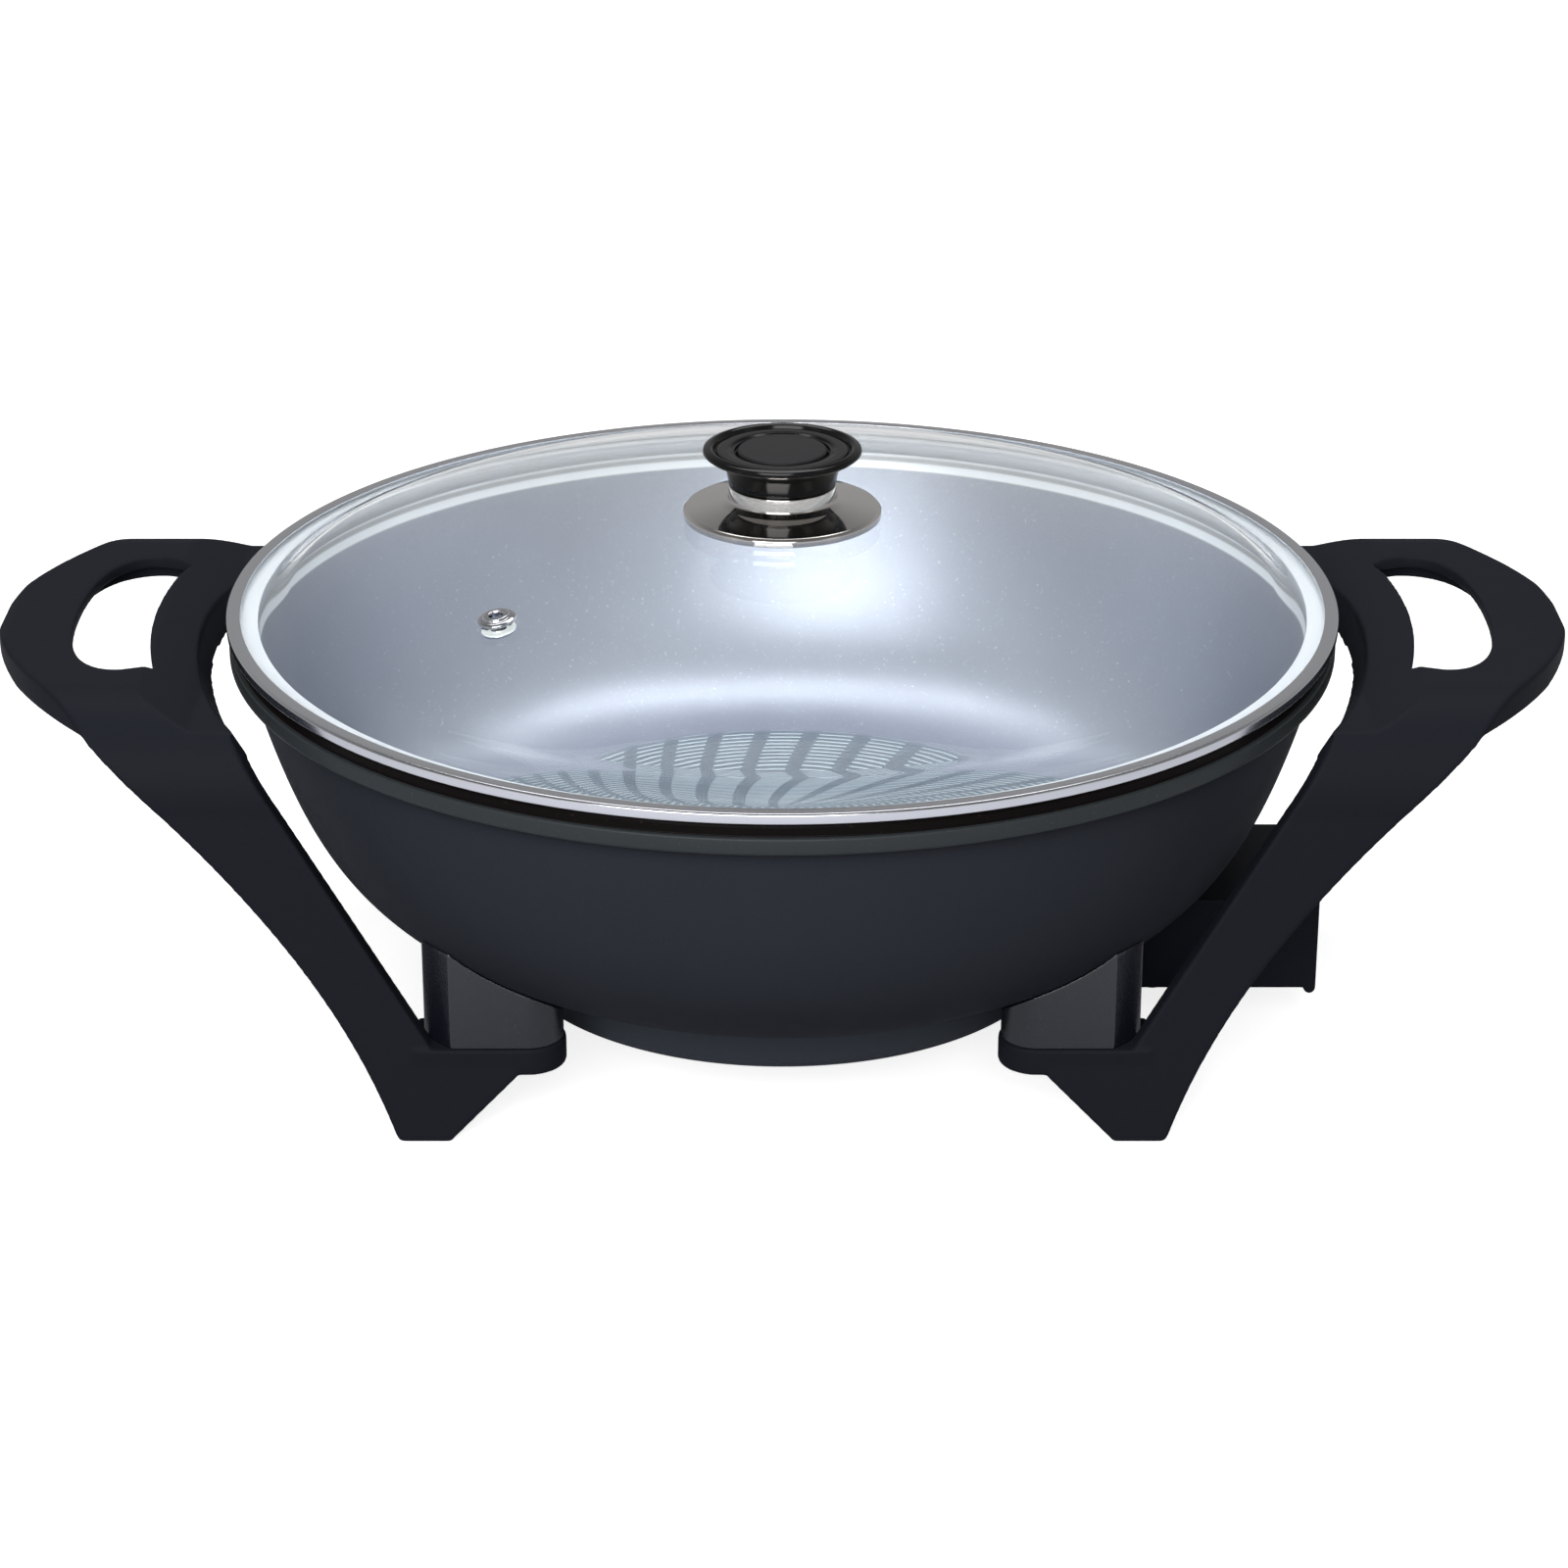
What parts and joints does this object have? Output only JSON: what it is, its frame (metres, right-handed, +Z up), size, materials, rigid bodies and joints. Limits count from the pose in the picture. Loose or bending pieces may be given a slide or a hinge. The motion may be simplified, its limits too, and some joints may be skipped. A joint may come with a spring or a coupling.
{
  "type": "electric wok",
  "caption": "Dark coated wok pan on moulded loop handles that turn down into legs, with a guarded probe socket and a lift-off domed glass lid with steel rim, steam vent and round knob.",
  "frame": {"origin": "on the table top, on the pan's own axis", "axes": "+X towards the probe socket and along the line through both handles, +Y to the rear, +Z up along the pan's axis"},
  "size_m": [0.508, 0.3592, 0.1935],
  "materials": {
    "coated_alloy": "cast, dark hammered enamel outside, lilac-grey non-stick coating inside",
    "cover_coating": "pressed, dark grey coating",
    "heater_sheath": "annealed sheath",
    "plated_steel": "bright zinc plating",
    "polished_steel": "mirror polish",
    "ceramic": "glazed ceramic",
    "black_phenolic": "satin moulded phenolic",
    "gloss_phenolic": "glossy speckled phenolic",
    "knob_phenolic": "high gloss",
    "cap_phenolic": "fine matte",
    "clear_glass": "clear tempered glass",
    "clear_silicone": "translucent silicone",
    "brass": "turned"
  },
  "bodies": {
    "cooker": {"pan": "coated_alloy", "heating_element": "heater_sheath", "terminal_pins": "plated_steel", "pin_bushes": "ceramic", "base_cover": "cover_coating", "base_screws": "plated_steel", "probe_shroud": "black_phenolic", "shroud_screws": "plated_steel", "handle_left": "black_phenolic", "handle_right": "black_phenolic", "spacer_front_left": "gloss_phenolic", "spacer_front_right": "gloss_phenolic", "spacer_rear_left": "gloss_phenolic", "spacer_rear_right": "gloss_phenolic", "leg_screws": "plated_steel", "leg_washers": "plated_steel"},
    "lid": {"lid_glass": "clear_glass", "lid_rim": "polished_steel", "vent_eyelet": "polished_steel", "vent_gasket": "clear_silicone", "knob": "knob_phenolic", "knob_cap": "cap_phenolic", "knob_insert": "brass", "knob_skirt": "polished_steel", "knob_gasket": "clear_silicone", "knob_washer": "plated_steel", "knob_under_gasket": "clear_silicone", "knob_screw": "plated_steel"}
  },
  "joints": [
    {"name": "lid_lift", "type": "slide", "parent": "cooker", "child": "lid", "axis": [0, 0, 1], "range_m": [0, 0.15]}
  ]
}
